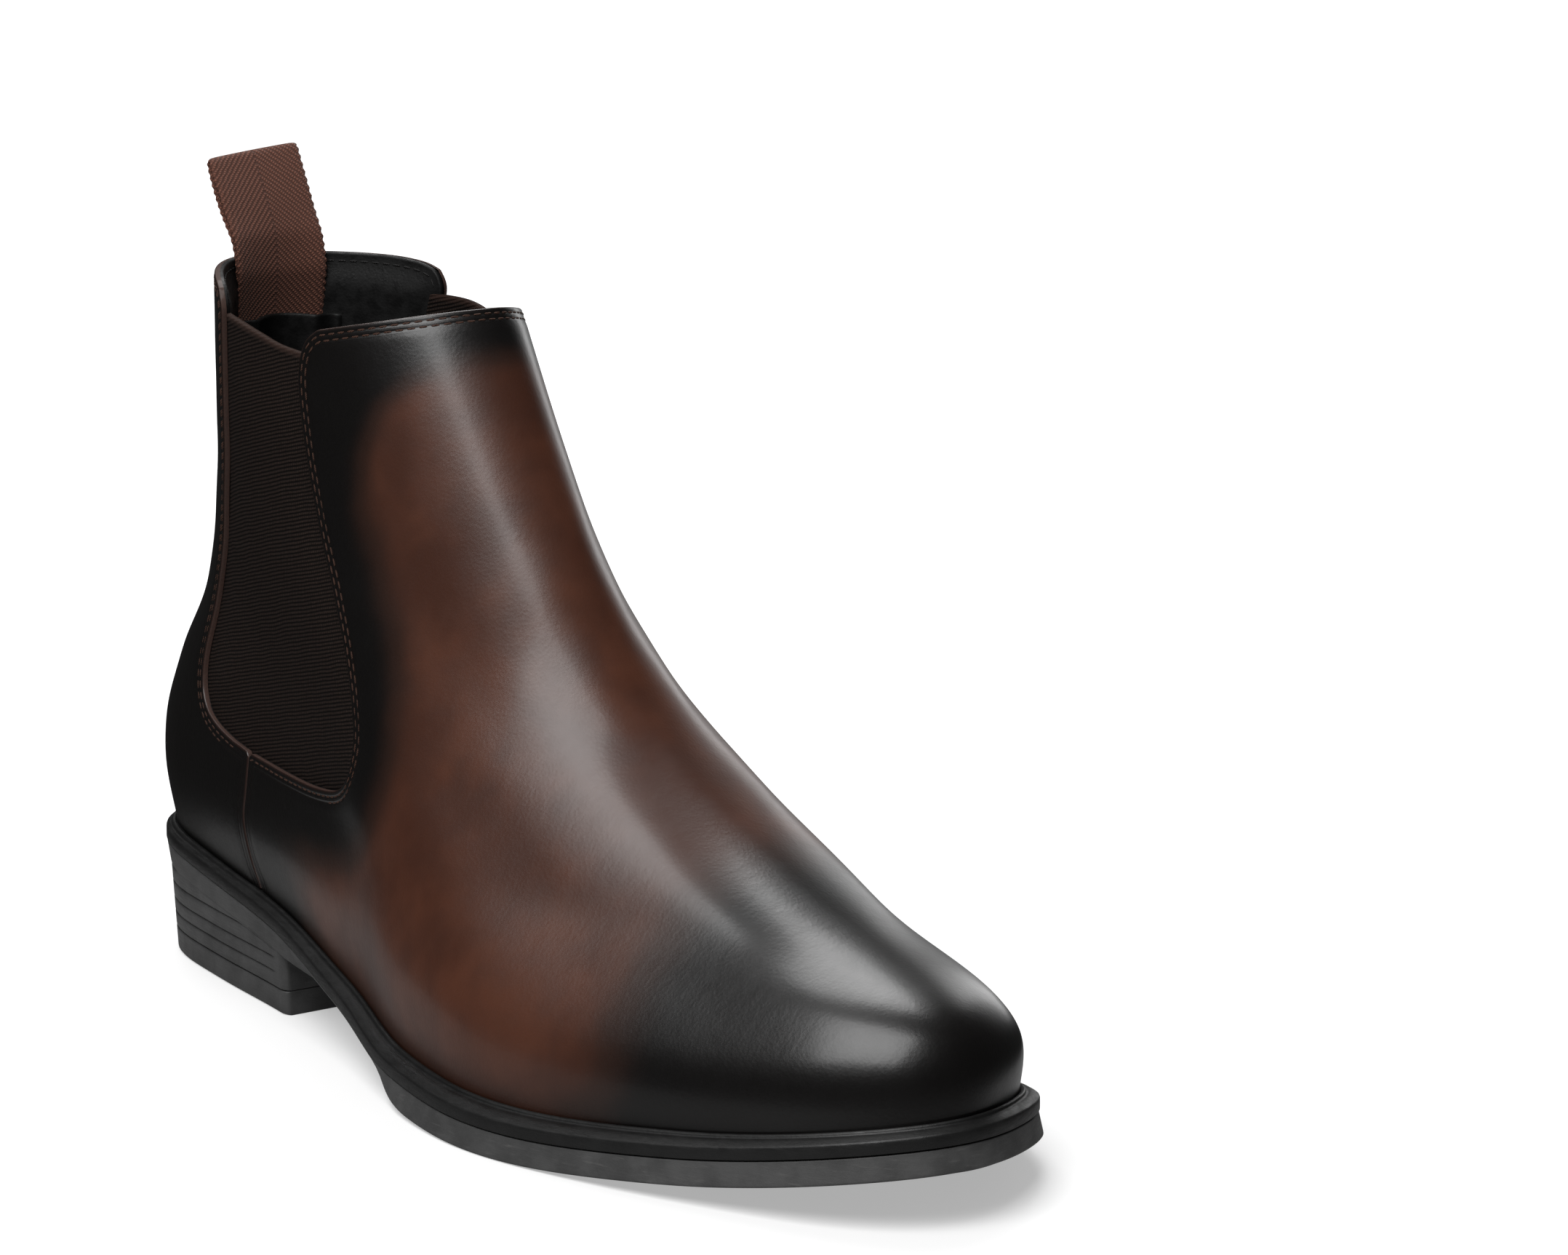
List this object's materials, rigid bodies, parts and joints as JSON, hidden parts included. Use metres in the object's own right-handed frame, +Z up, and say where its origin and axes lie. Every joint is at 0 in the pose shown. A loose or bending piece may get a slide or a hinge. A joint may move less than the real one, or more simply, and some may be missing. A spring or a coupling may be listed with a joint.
{
  "type": "chelsea boot",
  "caption": "Right-foot leather chelsea boot with elastic side gores, low stacked heel, welted rubber sole and a webbing pull loop.",
  "frame": {"origin": "floor level under the middle of the boot's bounding box", "axes": "+Z up, toe towards -Y, outer side of the foot towards -X"},
  "size_m": [0.1094, 0.3046, 0.2],
  "materials": {
    "leather_burnished": "satin",
    "gore_elastic": "matte",
    "lining_leather": "matte",
    "sock_leather": "matte",
    "webbing": "matte",
    "sole_rubber": "satin",
    "welt_rubber": "satin",
    "heel_rubber": "matte",
    "spring_steel": "satin",
    "fibre_board": "matte",
    "cork": "matte",
    "stiffener": "matte",
    "leather_board": "matte"
  },
  "bodies": {
    "boot": {"outsole": "sole_rubber", "welt": "welt_rubber", "heel_block": "heel_rubber", "heel_top_piece": "heel_rubber", "insole_board": "fibre_board", "shank": "spring_steel", "forepart_filler": "cork", "sock_liner": "sock_leather", "front_upper": "leather_burnished", "back_quarter": "leather_burnished", "gore_outer": "gore_elastic", "gore_inner": "gore_elastic", "lining_front": "lining_leather", "lining_back": "lining_leather", "toe_puff": "stiffener", "heel_counter": "leather_board", "loop_anchor": "webbing", "loop_patch": "lining_leather", "heel_nail_1": "spring_steel", "heel_nail_2": "spring_steel", "heel_nail_3": "spring_steel", "heel_nail_4": "spring_steel", "heel_nail_5": "spring_steel"},
    "loop": {"pull_loop": "webbing"}
  },
  "joints": [
    {"name": "loop_fold", "type": "hinge", "parent": "boot", "child": "loop", "pos_m": [0.00147, 0.1192, 0.1777], "axis": [1, 0, 0], "range_deg": [-35, 75], "stiffness_Nm_per_rad": 0.004}
  ]
}
